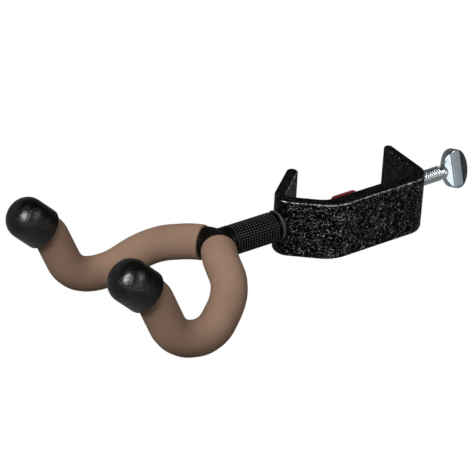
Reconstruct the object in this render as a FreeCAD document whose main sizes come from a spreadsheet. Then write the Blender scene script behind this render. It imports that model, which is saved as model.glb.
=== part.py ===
import FreeCAD, Part
import math
import os
import Sketcher

# Instrument hanger that clamps on the tube of a stand. A bracket with a V seat
# takes the tube, a thumb screw with a soft tip holds it there, and a padded yoke
# on a short arm carries the neck of an instrument and swivels about the arm.
# Origin: axis of the stand tube at mid height of the bracket. +X runs from the
# tube to the screw's head, +Z is up, and -Y is the side of the plain front wall.

doc = FreeCAD.newDocument("stand_hanger")
sheet = doc.addObject("Spreadsheet::Sheet", "Size")

# name, value in mm or degrees, meaning
driving = [
    ("stand_tube", 25.4, "diameter of the stand tube in the V seat"),
    ("clamp_height", 32.8, "bracket along Z"),
    ("front_wall", 8.0, "thickness of the front wall"),
    ("wall_gap", 1.3, "stand tube to the front wall"),
    ("leg_wall", 6.0, "thickness of the two legs of the V"),
    ("leg_angle", 40.0, "each leg of the V against the X axis"),
    ("leg_length", 28.0, "rear leg, along its inner face from the sharp apex"),
    ("apex_radius", 2.5, "inside the V"),
    ("elbow_radius", 12.0, "inside the bend from the front leg to the front wall"),
    ("tab_reach", 58.2, "tube axis to the outer face of the tab"),
    ("tab_wall", 5.0, "thickness of the tab"),
    ("tab_end", 15.7, "tube axis to the rear end of the tab"),
    ("corner_radius", 11.0, "outside the bend from the front wall to the tab"),
    ("corner_inner", 3.0, "inside that bend"),
    ("rim_round", 0.9, "round on the top edges of the bracket"),
    ("foot_round", 2.3, "round on its bottom edges"),
    ("screw_dia", 7.9, "thumb screw's thread"),
    ("fit_gap", 0.05, "radial running clearance of the thumb screw"),
    ("tip_gap", 0.3, "soft tip to the stand tube"),
    ("tip_dia", 11.0, "soft tip"),
    ("tip_length", 12.4, "soft tip along X"),
    ("tip_floor", 2.0, "soft tip in front of the screw's end"),
    ("shank_length", 67.7, "thumb screw from its end to the head"),
    ("head_length", 15.8, "paddle head along the screw"),
    ("head_width", 21.0, "paddle head across the screw"),
    ("head_thick", 6.2, "paddle head at its flat band"),
    ("head_edge", 2.4, "paddle head at its rim"),
    ("band_width", 5.6, "flat band across the paddle head"),
    ("neck_length", 3.0, "taper from the shank into the paddle head"),
    ("head_turn", -19.4, "thumb screw about X"),
    ("bolt_dia", 6.0, "arm bolt's shank"),
    ("bolt_gap", 0.1, "arm bolt to its hole in the bracket"),
    ("bolt_head", 10.0, "arm bolt's head"),
    ("bolt_head_tall", 3.0, "arm bolt's head along X"),
    ("bolt_socket", 3.46, "hexagon socket, centre to corner"),
    ("socket_depth", 1.8, "hexagon socket"),
    ("bolt_grip", 14.0, "arm bolt's length inside the arm"),
    ("spring_thick", 0.8, "spring washer under the head"),
    ("spring_room", 0.7, "radial room round the head in its pocket"),
    ("web", 3.5, "bracket left between the two pockets at the apex"),
    ("spot_depth", 1.8, "flat seat for the arm, cut into the rounded apex"),
    ("spot_room", 0.35, "radial room round the arm in its seat"),
    ("ring_thick", 1.2, "swivel ring between the bracket and the arm"),
    ("arm_dia", 15.8, "arm over its sleeve"),
    ("core_dia", 12.7, "steel bar inside the arm"),
    ("core_bevel", 0.6, "bevel at both ends of the bar"),
    ("lip_height", 0.25, "smooth lip above the sleeve at the bracket's end"),
    ("lip_length", 1.6, "that lip along X"),
    ("yoke_reach", 59.5, "tube axis to the crossing of the two legs of the yoke rod"),
    ("root_lean", 31.0, "each leg ahead of the Y axis where it leaves the hub"),
    ("root_bend", 11.0, "radius of the rod's bend inside the hub"),
    ("hub_dia", 16.8, "stubs of the hub round the rod's legs"),
    ("hub_half", 7.8, "crossing to the face of each stub, along the leg"),
    ("hub_neck", 7.0, "crossing to the end of the hub's neck"),
    ("hub_round", 0.8, "round at the face of each stub"),
    ("rod_dia", 9.5, "yoke rod"),
    ("rod_cover", 0.9, "bar's end to the yoke rod"),
    ("tube_dia", 18.2, "padding on the yoke rod"),
    ("tube_gap", 0.3, "padding to the face of the stub"),
    ("cradle_half", 49.0, "middle plane to the axis of each prong"),
    ("root_run", 6.9, "rod straight out of the stub"),
    ("shoulder_out", 37.9, "middle plane to the shoulder bend"),
    ("shoulder_ahead", 16.5, "crossing to the shoulder bend, along X"),
    ("shoulder_drop", 7.2, "shoulder bend below the arm's axis"),
    ("trough_ahead", 38.2, "crossing to the first bend of the trough"),
    ("trough_drop", 20.8, "first bend of the trough below the arm's axis"),
    ("rise_ahead", 58.3, "crossing to the second bend of the trough"),
    ("rise_drop", 16.1, "second bend of the trough below the arm's axis"),
    ("flare_ahead", 67.8, "crossing to the bend under the cap"),
    ("flare_up", 9.4, "bend under the cap above the arm's axis"),
    ("flare_lean", 45.4, "cap's axis against the vertical"),
    ("flare_run", 5.0, "bend under the cap to the cap's rim"),
    ("bend_share", 0.48, "part of the shorter run that each bend takes"),
    ("cap_wall", 1.85, "cap's wall over the padding"),
    ("cap_straight", 12.2, "cap from its rim to the start of its round end"),
    ("cap_round", 8.8, "cap's round end"),
    ("cap_depth", 16.0, "cap's bore"),
    ("cap_lip", 1.0, "round at the cap's rim"),
    ("rod_short", 2.0, "rod's end inside the end of the padding"),
    ("yoke_turn", -10.2, "yoke about the arm's axis"),
]
for row, (alias, number, meaning) in enumerate(driving, start=1):
    sheet.set("A%d" % row, meaning)
    sheet.set("B%d" % row, str(number))
    sheet.setAlias("B%d" % row, alias)
doc.recompute()


def value(text):
    """Number that an expression of the sheet's names gives."""
    result = sheet.evalExpression(text)
    return float(getattr(result, "Value", result))


# Names used in several expressions below
tubeR = "(Size.stand_tube / 2)"
wallIn = "(Size.stand_tube / 2 + Size.wall_gap)"
wallOut = "(Size.stand_tube / 2 + Size.wall_gap + Size.front_wall)"
sine = "sin(Size.leg_angle * 1 deg)"
cosine = "cos(Size.leg_angle * 1 deg)"
tangent = "tan(Size.leg_angle * 1 deg)"
leanSine = "sin(Size.root_lean * 1 deg)"
leanCosine = "cos(Size.root_lean * 1 deg)"
spineCut = "Size.root_bend * tan(Size.root_lean * 1 deg)"
apexIn = "(Size.stand_tube / 2 / %s)" % sine
apexOut = "((Size.stand_tube / 2 + Size.leg_wall) / %s)" % sine
# x of the rounded apex, outside and inside the V
noseOut = "(%s - (Size.apex_radius + Size.leg_wall) * (1 / %s - 1))" % (apexOut, sine)
seatX = "(%s - Size.spot_depth)" % noseOut
pocketX = "(%s - Size.web)" % seatX
armStart = "(%s + Size.ring_thick)" % seatX
# x of the rod's axis where its bend comes nearest to the arm
crest = "(Size.yoke_reach + Size.root_bend * (1 / cos(Size.root_lean * 1 deg) - 1))"
coreEnd = "(%s - Size.rod_dia / 2 - Size.rod_cover)" % crest
neckEnd = "(Size.yoke_reach - Size.hub_neck)"
tipStart = "(Size.stand_tube / 2 + Size.tip_gap)"
screwStart = "(%s + Size.tip_floor + Size.fit_gap)" % tipStart
headStart = "(%s + Size.shank_length)" % screwStart
near = 1e-4   # mm, two places closer than this are one place


def newBody(label):
    body = doc.addObject("PartDesign::Body", label)
    body.Label = label
    return body


def newSketch(body, role, name):
    sketch = body.newObject("Sketcher::SketchObject", name)
    plane = [f for f in body.Origin.OriginFeatures if f.Role == role][0]
    sketch.AttachmentSupport = [(plane, "")]
    sketch.MapMode = "FlatFace"
    return sketch


def pin(sketch, geo, point, x, y):
    """Hold a point of the sketch at two expressions, or on an axis where one is 0."""
    for kind, text, axis in (("DistanceX", x, -2), ("DistanceY", y, -1)):
        if text == "0":
            sketch.addConstraint(Sketcher.Constraint("PointOnObject", geo, point, axis))
            continue
        fixed = Sketcher.Constraint(kind, -1, 1, geo, point, value(text))
        sketch.setExpression("Constraints[%d]" % sketch.addConstraint(fixed), text)


def addPolygon(sketch, corners):
    """Closed outline through corners, each a pair of expressions."""
    spots = [FreeCAD.Vector(value(x), value(y), 0) for x, y in corners]
    lines = []
    for here, there in zip(spots, spots[1:] + spots[:1]):
        lines.append(sketch.addGeometry(Part.LineSegment(here, there)))
    for line, following in zip(lines, lines[1:] + lines[:1]):
        sketch.addConstraint(Sketcher.Constraint("Coincident", line, 2, following, 1))
    for line, (x, y) in zip(lines, corners):
        pin(sketch, line, 1, x, y)


def addCircle(sketch, x, y, diameter):
    centre = FreeCAD.Vector(value(x), value(y), 0)
    circle = Part.Circle(centre, FreeCAD.Vector(0, 0, 1), value(diameter) / 2)
    geo = sketch.addGeometry(circle)
    if x == "0" and y == "0":
        sketch.addConstraint(Sketcher.Constraint("Coincident", geo, 3, -1, 1))
    else:
        pin(sketch, geo, 3, x, y)
    fixed = Sketcher.Constraint("Diameter", geo, value(diameter))
    sketch.setExpression("Constraints[%d]" % sketch.addConstraint(fixed), diameter)


def addEllipse(sketch, x, width, height):
    """Upright ellipse centred on the sketch's X axis at x."""
    centre = FreeCAD.Vector(value(x), 0, 0)
    top = centre + FreeCAD.Vector(0, value(height) / 2, 0)
    side = centre + FreeCAD.Vector(value(width) / 2, 0, 0)
    oval = sketch.addGeometry(Part.Ellipse(top, side, centre))
    sketch.exposeInternalGeometry(oval)
    pin(sketch, oval, 3, x, "0")
    axes = [n for n, g in enumerate(sketch.Geometry) if isinstance(g, Part.LineSegment)]
    axes.sort(key=lambda n: -sketch.Geometry[n].length())
    for line, extent in zip(axes, (height, width)):
        fixed = Sketcher.Constraint("Distance", line, value(extent))
        sketch.setExpression("Constraints[%d]" % sketch.addConstraint(fixed), extent)
    sketch.addConstraint(Sketcher.Constraint("Vertical", axes[0]))


def addPad(body, sketch, length, midplane=False, backward=False):
    pad = body.newObject("PartDesign::Pad", sketch.Name + "_pad")
    pad.Profile = sketch
    pad.setExpression("Length", length)
    pad.Midplane = midplane
    pad.Reversed = backward
    doc.recompute()
    return pad


def addPocket(body, sketch, depth, backward=False, midplane=False):
    """Cut the sketch into the body, and make sure that it takes material away."""
    before = body.Tip.Shape.Volume
    pocket = body.newObject("PartDesign::Pocket", sketch.Name + "_pocket")
    pocket.Profile = sketch
    pocket.setExpression("Length", depth)
    pocket.Reversed = backward
    pocket.Midplane = midplane
    doc.recompute()
    if pocket.Shape.Volume > before - 0.01:
        raise ValueError(sketch.Name + " cuts nothing")
    return pocket


def addRevolution(body, sketch, axis):
    turn = body.newObject("PartDesign::Revolution", sketch.Name + "_turn")
    turn.Profile = sketch
    turn.ReferenceAxis = (sketch, [axis])
    turn.Angle = 360
    doc.recompute()
    return turn


def addFillet(body, name, radius, chosen):
    """Round the edges of the body's tip for which chosen(edge) is true."""
    base = body.Tip
    edges = ["Edge%d" % n for n, e in enumerate(base.Shape.Edges, start=1) if chosen(e)]
    if not edges:
        raise ValueError(name + " found no edge")
    fillet = body.newObject("PartDesign::Fillet", name)
    fillet.Base = (base, edges)
    fillet.setExpression("Radius", radius)
    doc.recompute()
    return fillet


def uprightAt(x, y):
    """True for the vertical edge above the point given by two expressions."""
    spot = FreeCAD.Vector(value(x), value(y), 0)

    def chosen(edge):
        ends = [v.Point for v in edge.Vertexes]
        flat = [(FreeCAD.Vector(p.x, p.y, 0) - spot).Length for p in ends]
        return len(ends) == 2 and max(flat) < near
    return chosen


def circleAt(axis, place, radius):
    """True for a full circle that is square to an axis at a place along it."""
    along = {"x": 0, "y": 1, "z": 2}[axis]

    def chosen(edge):
        curve = edge.Curve
        if not isinstance(curve, Part.Circle) or abs(curve.Radius - radius) > near:
            return False
        square = FreeCAD.Vector([abs(c) for c in curve.Axis])
        square[along] -= square.Length
        return abs(curve.Center[along] - place) < near and square.Length < near
    return chosen


# Clamp bracket

def makeBracket():
    body = newBody("clamp_bracket")
    plan = newSketch(body, "XY_Plane", "bracket_plan")
    rearIn = ("-%s + Size.leg_length * %s" % (apexIn, cosine), "Size.leg_length * %s" % sine)
    rearOut = ("%s - Size.leg_wall * %s" % (rearIn[0], sine),
               "%s + Size.leg_wall * %s" % (rearIn[1], cosine))
    elbowIn = ("-%s + %s / %s" % (apexIn, wallIn, tangent), "-" + wallIn)
    elbowOut = ("-%s + %s / %s" % (apexOut, wallOut, tangent), "-" + wallOut)
    tabIn = "Size.tab_reach - Size.tab_wall"
    innerApex = ("-" + apexIn, "0")
    outerApex = ("-" + apexOut, "0")
    innerCorner = (tabIn, "-" + wallIn)
    outerCorner = ("Size.tab_reach", "-" + wallOut)
    tabRear = (tabIn, "Size.tab_end")
    tabRearOut = ("Size.tab_reach", "Size.tab_end")
    addPolygon(plan, [rearIn, innerApex, elbowIn, innerCorner, tabRear, tabRearOut,
                      outerCorner, elbowOut, outerApex, rearOut])
    doc.recompute()
    addPad(body, plan, "Size.clamp_height", midplane=True)
    rounds = [
        ("apex_inside", "Size.apex_radius", innerApex),
        ("apex_outside", "Size.apex_radius + Size.leg_wall", outerApex),
        ("elbow_inside", "Size.elbow_radius", elbowIn),
        ("elbow_outside", "Size.elbow_radius + Size.front_wall", elbowOut),
        ("corner_inside", "Size.corner_inner", innerCorner),
        ("corner_outside", "Size.corner_radius", outerCorner),
        ("tab_end_inside", "Size.tab_wall * 0.49", tabRear),
        ("tab_end_outside", "Size.tab_wall * 0.49", tabRearOut),
        ("leg_end_inside", "Size.leg_wall * 0.48", rearIn),
        ("leg_end_outside", "Size.leg_wall * 0.48", rearOut),
    ]
    for name, radius, (x, y) in rounds:
        addFillet(body, name, radius, uprightAt(x, y))
    half = value("Size.clamp_height") / 2
    addFillet(body, "rims", "Size.rim_round",
              lambda e: all(abs(v.Z - half) < near for v in e.Vertexes))
    addFillet(body, "foot", "min(Size.foot_round; Size.tab_wall * 0.47; Size.leg_wall * 0.46)",
              lambda e: all(abs(v.Z + half) < near for v in e.Vertexes))

    # Flat seat for the arm, cut into the apex from outside
    spot = newSketch(body, "YZ_Plane", "arm_seat")
    addCircle(spot, "0", "0", "Size.arm_dia + 2 * Size.spot_room")
    spot.setExpression("AttachmentOffset.Base.z", "-" + seatX)
    addPocket(body, spot, apexOut, backward=False)
    # Pocket for the bolt's head, from inside the V
    nest = newSketch(body, "YZ_Plane", "bolt_nest")
    addCircle(nest, "0", "0", "Size.bolt_head + 2 * Size.spring_room")
    nest.setExpression("AttachmentOffset.Base.z", "-" + pocketX)
    addPocket(body, nest, "%s - %s" % (pocketX, tubeR), backward=True)
    # Through hole of the bolt
    hole = newSketch(body, "YZ_Plane", "bolt_hole")
    addCircle(hole, "0", "0", "Size.bolt_dia + 2 * Size.bolt_gap")
    hole.setExpression("AttachmentOffset.Base.z", "-" + apexIn)
    addPocket(body, hole, "2 * Size.web + Size.apex_radius + Size.leg_wall", midplane=True)
    # Tapped hole of the thumb screw through the tab
    tapped = newSketch(body, "YZ_Plane", "screw_hole")
    addCircle(tapped, "0", "0", "Size.screw_dia + 2 * Size.fit_gap")
    tapped.setExpression("AttachmentOffset.Base.z", "Size.tab_reach")
    addPocket(body, tapped, "2 * Size.tab_wall", midplane=True)
    return body


# Thumb screw with its paddle head, and the soft tip on its end

def makeScrew():
    body = newBody("clamp_screw")
    middle = "(%s + Size.head_length / 2)" % headStart
    # Paddle: a bar with a flat band and two sloping sides, cut to an oval
    side = newSketch(body, "XY_Plane", "head_profile")
    left = "%s - Size.head_length / 2" % middle
    right = "%s + Size.head_length / 2" % middle
    bandLeft = "%s - Size.band_width / 2" % middle
    bandRight = "%s + Size.band_width / 2" % middle
    thick = "Size.head_thick / 2"
    rim = "Size.head_edge / 2"
    addPolygon(side, [
        (left, rim), (bandLeft, thick), (bandRight, thick), (right, rim),
        (right, "-" + rim), (bandRight, "-" + thick), (bandLeft, "-" + thick), (left, "-" + rim),
    ])
    doc.recompute()
    addPad(body, side, "Size.head_width", midplane=True)
    outline = newSketch(body, "XZ_Plane", "head_oval")
    addEllipse(outline, middle, "Size.head_length", "Size.head_width")
    far = "Size.head_width"
    addPolygon(outline, [
        ("%s - %s" % (middle, far), "-" + far), ("%s + %s" % (middle, far), "-" + far),
        ("%s + %s" % (middle, far), far), ("%s - %s" % (middle, far), far),
    ])
    doc.recompute()
    addPocket(body, outline, "2 * Size.head_thick", midplane=True)
    shank = newSketch(body, "XY_Plane", "screw_profile")
    radius = "Size.screw_dia / 2"
    bevel = "Size.screw_dia / 10"
    root = "(%s + Size.neck_length)" % headStart
    addPolygon(shank, [
        (screwStart, "0"),
        (screwStart, "%s - %s" % (radius, bevel)),
        ("%s + %s" % (screwStart, bevel), radius),
        (headStart, radius),
        (root, "Size.head_edge / 2"),
        (root, "0"),
    ])
    doc.recompute()
    addRevolution(body, shank, "H_Axis")
    body.Placement.Rotation = FreeCAD.Rotation(FreeCAD.Vector(1, 0, 0), value("Size.head_turn"))
    return body


def makeTip():
    body = newBody("screw_tip")
    profile = newSketch(body, "XY_Plane", "tip_profile")
    bore = "Size.screw_dia / 2 + Size.fit_gap"
    addPolygon(profile, [
        (tipStart, "0"),
        (tipStart, "Size.tip_dia / 2"),
        ("%s + Size.tip_length" % tipStart, "Size.tip_dia / 2"),
        ("%s + Size.tip_length" % tipStart, bore),
        ("%s + Size.tip_floor" % tipStart, bore),
        ("%s + Size.tip_floor" % tipStart, "0"),
    ])
    doc.recompute()
    addRevolution(body, profile, "H_Axis")
    addFillet(body, "tip_nose", "Size.tip_floor * 0.6",
              circleAt("x", value(tipStart), value("Size.tip_dia / 2")))
    return body


# Swivel of the arm: bolt, spring washer and ring

def makeBolt():
    body = newBody("arm_bolt")
    profile = newSketch(body, "XY_Plane", "bolt_profile")
    under = "(%s - Size.spring_thick)" % pocketX
    addPolygon(profile, [
        ("-%s - Size.bolt_grip" % armStart, "0"),
        ("-%s - Size.bolt_grip" % armStart, "Size.bolt_dia / 2"),
        ("-" + under, "Size.bolt_dia / 2"),
        ("-" + under, "Size.bolt_head / 2"),
        ("-%s + Size.bolt_head_tall" % under, "Size.bolt_head / 2"),
        ("-%s + Size.bolt_head_tall" % under, "0"),
    ])
    doc.recompute()
    addRevolution(body, profile, "H_Axis")
    top = "(-%s + Size.bolt_head_tall)" % under
    addFillet(body, "head_round", "Size.bolt_head_tall / 2",
              circleAt("x", value(top), value("Size.bolt_head / 2")))
    socket = newSketch(body, "YZ_Plane", "bolt_key")
    sides = 6
    corners = []
    for n in range(sides):
        turn = 360 * n / sides
        across = "Size.bolt_socket * sin(%g deg)" % turn
        corners.append(("Size.bolt_socket * cos(%g deg)" % turn,
                        "0" if n % (sides // 2) == 0 else across))
    addPolygon(socket, corners)
    socket.setExpression("AttachmentOffset.Base.z", top)
    doc.recompute()
    addPocket(body, socket, "Size.socket_depth")
    return body


def makeRing(label, plane, place, outer, inner, thick, backward):
    """Flat ring square to X whose first face lies at place."""
    body = newBody(label)
    sketch = newSketch(body, plane, label + "_section")
    addCircle(sketch, "0", "0", outer)
    addCircle(sketch, "0", "0", inner)
    sketch.setExpression("AttachmentOffset.Base.z", place)
    addPad(body, sketch, thick, backward=backward)
    return body


# Arm: steel bar and its sleeve

def makeCore():
    body = newBody("arm_core")
    profile = newSketch(body, "XY_Plane", "core_profile")
    radius = "Size.core_dia / 2"
    addPolygon(profile, [
        ("-" + armStart, "Size.bolt_dia / 2"),
        ("-" + armStart, "%s - Size.core_bevel" % radius),
        ("-%s - Size.core_bevel" % armStart, radius),
        ("-%s + Size.core_bevel" % coreEnd, radius),
        ("-" + coreEnd, "%s - Size.core_bevel" % radius),
        ("-" + coreEnd, "0"),
        ("-%s - Size.bolt_grip" % armStart, "0"),
        ("-%s - Size.bolt_grip" % armStart, "Size.bolt_dia / 2"),
    ])
    doc.recompute()
    addRevolution(body, profile, "H_Axis")
    return body


def makeSleeve():
    body = newBody("arm_sleeve")
    profile = newSketch(body, "XY_Plane", "sleeve_profile")
    outer = "Size.arm_dia / 2"
    lip = "Size.arm_dia / 2 + Size.lip_height"
    addPolygon(profile, [
        ("-" + armStart, "Size.core_dia / 2"),
        ("-" + armStart, lip),
        ("-%s - Size.lip_length" % armStart, lip),
        ("-%s - Size.lip_length - Size.lip_height" % armStart, outer),
        ("-" + neckEnd, outer),
        ("-" + neckEnd, "Size.core_dia / 2"),
    ])
    doc.recompute()
    addRevolution(body, profile, "H_Axis")
    return body


# Yoke: hub, bent rod, padding and caps

def legPoint(side, along):
    """Point on the axis of a leg at a distance from the crossing."""
    lean = math.radians(value("Size.root_lean"))
    return FreeCAD.Vector(-value("Size.yoke_reach") - along * math.sin(lean),
                          side * along * math.cos(lean), 0)


def hubSpine(body):
    """Sketch of the rod's axis inside the hub: straight, round the bend, straight."""
    spine = newSketch(body, "XY_Plane", "rod_line")
    lean = math.radians(value("Size.root_lean"))
    radius = value("Size.root_bend")
    cut = radius * math.tan(lean)
    half = value("Size.hub_half")
    centre = FreeCAD.Vector(-value("Size.yoke_reach") - radius / math.cos(lean), 0, 0)
    circle = Part.Circle(centre, FreeCAD.Vector(0, 0, 1), radius)
    first = spine.addGeometry(Part.LineSegment(legPoint(-1, half), legPoint(-1, cut)))
    bend = spine.addGeometry(Part.ArcOfCircle(circle, -lean, lean))
    last = spine.addGeometry(Part.LineSegment(legPoint(1, cut), legPoint(1, half)))
    spine.addConstraint(Sketcher.Constraint("Coincident", first, 2, bend, 1))
    spine.addConstraint(Sketcher.Constraint("Coincident", bend, 2, last, 1))
    for geo, point, side, along in ((first, 1, "-", "Size.hub_half"), (first, 2, "-", spineCut),
                                    (last, 1, "", spineCut), (last, 2, "", "Size.hub_half")):
        pin(spine, geo, point, "-Size.yoke_reach - %s * %s" % (along, leanSine),
            "%s%s * %s" % (side, along, leanCosine))
    fixed = Sketcher.Constraint("Radius", bend, radius)
    spine.setExpression("Constraints[%d]" % spine.addConstraint(fixed), "Size.root_bend")
    doc.recompute()
    return spine


def addPipe(body, kind, spine, name, diameter):
    """Round bar or bore along the spine, from the face of the stub at -Y."""
    section = newSketch(body, "XZ_Plane", name)
    section.AttachmentOffset = FreeCAD.Placement(
        FreeCAD.Vector(0, 0, 0), FreeCAD.Rotation(FreeCAD.Vector(0, 1, 0), -value("Size.root_lean")))
    section.setExpression("AttachmentOffset.Rotation.Angle", "-Size.root_lean * 1 deg")
    section.setExpression("AttachmentOffset.Base.x",
                          "-Size.yoke_reach - Size.hub_half * %s" % leanSine)
    section.setExpression("AttachmentOffset.Base.z", "Size.hub_half * %s" % leanCosine)
    addCircle(section, "0", "0", diameter)
    doc.recompute()
    pipe = body.newObject(kind, name + "_pipe")
    pipe.Profile = section
    pipe.Spine = (spine, ["Edge1", "Edge2", "Edge3"])
    doc.recompute()
    return pipe


def makeHub():
    body = newBody("yoke_hub")
    spine = hubSpine(body)
    addPipe(body, "PartDesign::AdditivePipe", spine, "hub_stubs", "Size.hub_dia")
    half = value("Size.hub_half")
    addFillet(body, "stub_ends", "Size.hub_round", lambda e: isinstance(e.Curve, Part.Circle) and
              any((e.Curve.Center - legPoint(side, half)).Length < near for side in (-1, 1)))
    neck = newSketch(body, "YZ_Plane", "hub_neck_section")
    addCircle(neck, "0", "0", "Size.arm_dia")
    neck.setExpression("AttachmentOffset.Base.z", "-Size.yoke_reach")
    doc.recompute()
    addPad(body, neck, "Size.hub_neck")
    addPipe(body, "PartDesign::SubtractivePipe", spine, "rod_bore", "Size.rod_dia")
    socket = newSketch(body, "YZ_Plane", "core_socket")
    addCircle(socket, "0", "0", "Size.core_dia")
    socket.setExpression("AttachmentOffset.Base.z", "-" + neckEnd)
    doc.recompute()
    addPocket(body, socket, "%s - %s" % (coreEnd, neckEnd))
    return body


def prongRoute(side):
    """Corners of the rod on one side, from the face of the stub to the cap's rim."""
    reach = value("Size.yoke_reach")
    out = value("Size.cradle_half")
    lean = math.radians(value("Size.flare_lean"))
    flare = (-reach - value("Size.flare_ahead"), out, value("Size.flare_up"))
    run = value("Size.flare_run")
    corners = [
        (-reach - value("Size.shoulder_ahead"), value("Size.shoulder_out"),
         -value("Size.shoulder_drop")),
        (-reach - value("Size.trough_ahead"), out, -value("Size.trough_drop")),
        (-reach - value("Size.rise_ahead"), out, -value("Size.rise_drop")),
        flare,
        (flare[0] - run * math.sin(lean), out, flare[2] + run * math.cos(lean)),
    ]
    root = [legPoint(side, value("Size.hub_half")),
            legPoint(side, value("Size.hub_half + Size.root_run"))]
    return root + [FreeCAD.Vector(x, side * y, z) for x, y, z in corners]


def bentEdges(corners, beyond):
    """Straight runs joined by tangent arcs, with the last run made longer."""
    share = value("Size.bend_share")
    ahead = (corners[-1] - corners[-2]).normalize()
    corners = corners[:-1] + [corners[-1] + ahead * beyond]
    runs = [(b - a).Length for a, b in zip(corners, corners[1:])]
    edges = []
    start = corners[0]
    for n in range(1, len(corners) - 1):
        back = (corners[n - 1] - corners[n]).normalize()
        forward = (corners[n + 1] - corners[n]).normalize()
        # the first bend starts right at the stub
        cut = min(runs[0], share * runs[1]) if n == 1 else share * min(runs[n - 1], runs[n])
        first = corners[n] + back * cut
        last = corners[n] + forward * cut
        half = back.getAngle(forward) / 2
        toCentre = (back + forward).normalize()
        radius = cut * math.tan(half)
        middle = corners[n] + toCentre * (radius / math.sin(half) - radius)
        if (first - start).Length > 1e-6:
            edges.append(Part.makeLine(start, first))
        edges.append(Part.Arc(first, middle, last).toShape())
        start = last
    edges.append(Part.makeLine(start, corners[-1]))
    return edges


def sweepAlong(edges, diameter):
    wire = Part.Wire(edges)
    first = edges[0]
    heading = first.tangentAt(first.FirstParameter)
    start = first.valueAt(first.FirstParameter)
    section = Part.Wire([Part.makeCircle(diameter / 2, start, heading)])
    return wire.makePipeShell([section], True, False)


def addShape(label, shape):
    feature = doc.addObject("Part::Feature", label)
    feature.Label = label
    feature.Shape = shape
    return feature


def makeRod():
    diameter = value("Size.rod_dia")
    half = value("Size.hub_half")
    lean = math.radians(value("Size.root_lean"))
    cut = value("Size.root_bend") * math.tan(lean)
    bend = Part.Arc(legPoint(-1, cut), FreeCAD.Vector(-value(crest), 0, 0), legPoint(1, cut))
    middle = sweepAlong([Part.makeLine(legPoint(-1, half), legPoint(-1, cut)), bend.toShape(),
                         Part.makeLine(legPoint(1, cut), legPoint(1, half))], diameter)
    beyond = value("Size.cap_depth - Size.rod_short")
    prongs = [sweepAlong(bentEdges(prongRoute(side), beyond), diameter) for side in (-1, 1)]
    return addShape("yoke_rod", middle.fuse(prongs).removeSplitter())


def makePadding(label, side):
    beyond = value("Size.cap_depth")
    route = prongRoute(side)
    edges = bentEdges(route, beyond)
    outer = sweepAlong(edges, value("Size.tube_dia"))
    bore = sweepAlong(edges, value("Size.rod_dia"))
    # the padding stops a little short of the stub
    trim = Part.makeCylinder(value("Size.tube_dia"), value("Size.tube_gap"),
                             route[0], route[1] - route[0])
    return addShape(label, outer.cut(bore).cut(trim))


def makeCap(label, side):
    body = newBody(label)
    profile = newSketch(body, "XZ_Plane", label + "_profile")
    outer = "(Size.tube_dia / 2 + Size.cap_wall)"
    tall = "(Size.cap_straight + Size.cap_round)"
    addPolygon(profile, [
        ("Size.tube_dia / 2", "0"),
        (outer, "0"),
        (outer, tall),
        ("0", tall),
        ("0", "Size.cap_depth"),
        ("Size.tube_dia / 2", "Size.cap_depth"),
    ])
    doc.recompute()
    addRevolution(body, profile, "V_Axis")
    addFillet(body, label + "_dome", "Size.cap_round",
              circleAt("z", value(tall), value(outer)))
    addFillet(body, label + "_rim", "Size.cap_lip", circleAt("z", 0, value(outer)))
    rim = prongRoute(side)[-1]
    lean = FreeCAD.Rotation(FreeCAD.Vector(0, 1, 0), -value("Size.flare_lean"))
    body.Placement = FreeCAD.Placement(rim, lean)
    return body


bracket = makeBracket()
screw = makeScrew()
tip = makeTip()
bolt = makeBolt()
spring = makeRing("spring_washer", "YZ_Plane", "-" + pocketX, "Size.bolt_head",
                  "Size.bolt_dia", "Size.spring_thick", False)
ring = makeRing("swivel_ring", "YZ_Plane", "-" + seatX, "Size.arm_dia",
                "Size.bolt_dia", "Size.ring_thick", True)
core = makeCore()
sleeve = makeSleeve()
hub = makeHub()
rod = makeRod()
padding = [makePadding("left_padding", 1), makePadding("right_padding", -1)]
caps = [makeCap("left_cap", 1), makeCap("right_cap", -1)]

# The swivelling pieces turn together about the arm's axis
swivel = FreeCAD.Placement(FreeCAD.Vector(0, 0, 0),
                           FreeCAD.Rotation(FreeCAD.Vector(1, 0, 0), value("Size.yoke_turn")))
turning = [bolt, spring, ring, core, sleeve, hub, rod] + padding + caps
for piece in turning:
    piece.Placement = swivel.multiply(piece.Placement)

doc.recompute()
pieces = [bracket, screw, tip] + turning
for thing in doc.Objects:
    if "Invalid" in thing.State or "Error" in thing.State:
        raise RuntimeError("%s did not build: %s" % (thing.Label, thing.State))
for piece in pieces:
    shape = piece.Shape
    if shape.isNull() or not shape.isValid() or len(shape.Solids) != 1:
        raise RuntimeError("%s has no single valid solid" % piece.Label)
os.makedirs("parts", exist_ok=True)
for piece in pieces:
    piece.Shape.exportStep("parts/%s.step" % piece.Label)
    box = piece.Shape.BoundBox
    print("%-14s %9.1f mm3  %6.1f x %6.1f x %6.1f" %
          (piece.Label, piece.Shape.Volume, box.XLength, box.YLength, box.ZLength))
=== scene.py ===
import math

import bmesh
import bpy
from mathutils import Matrix, Vector


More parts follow.
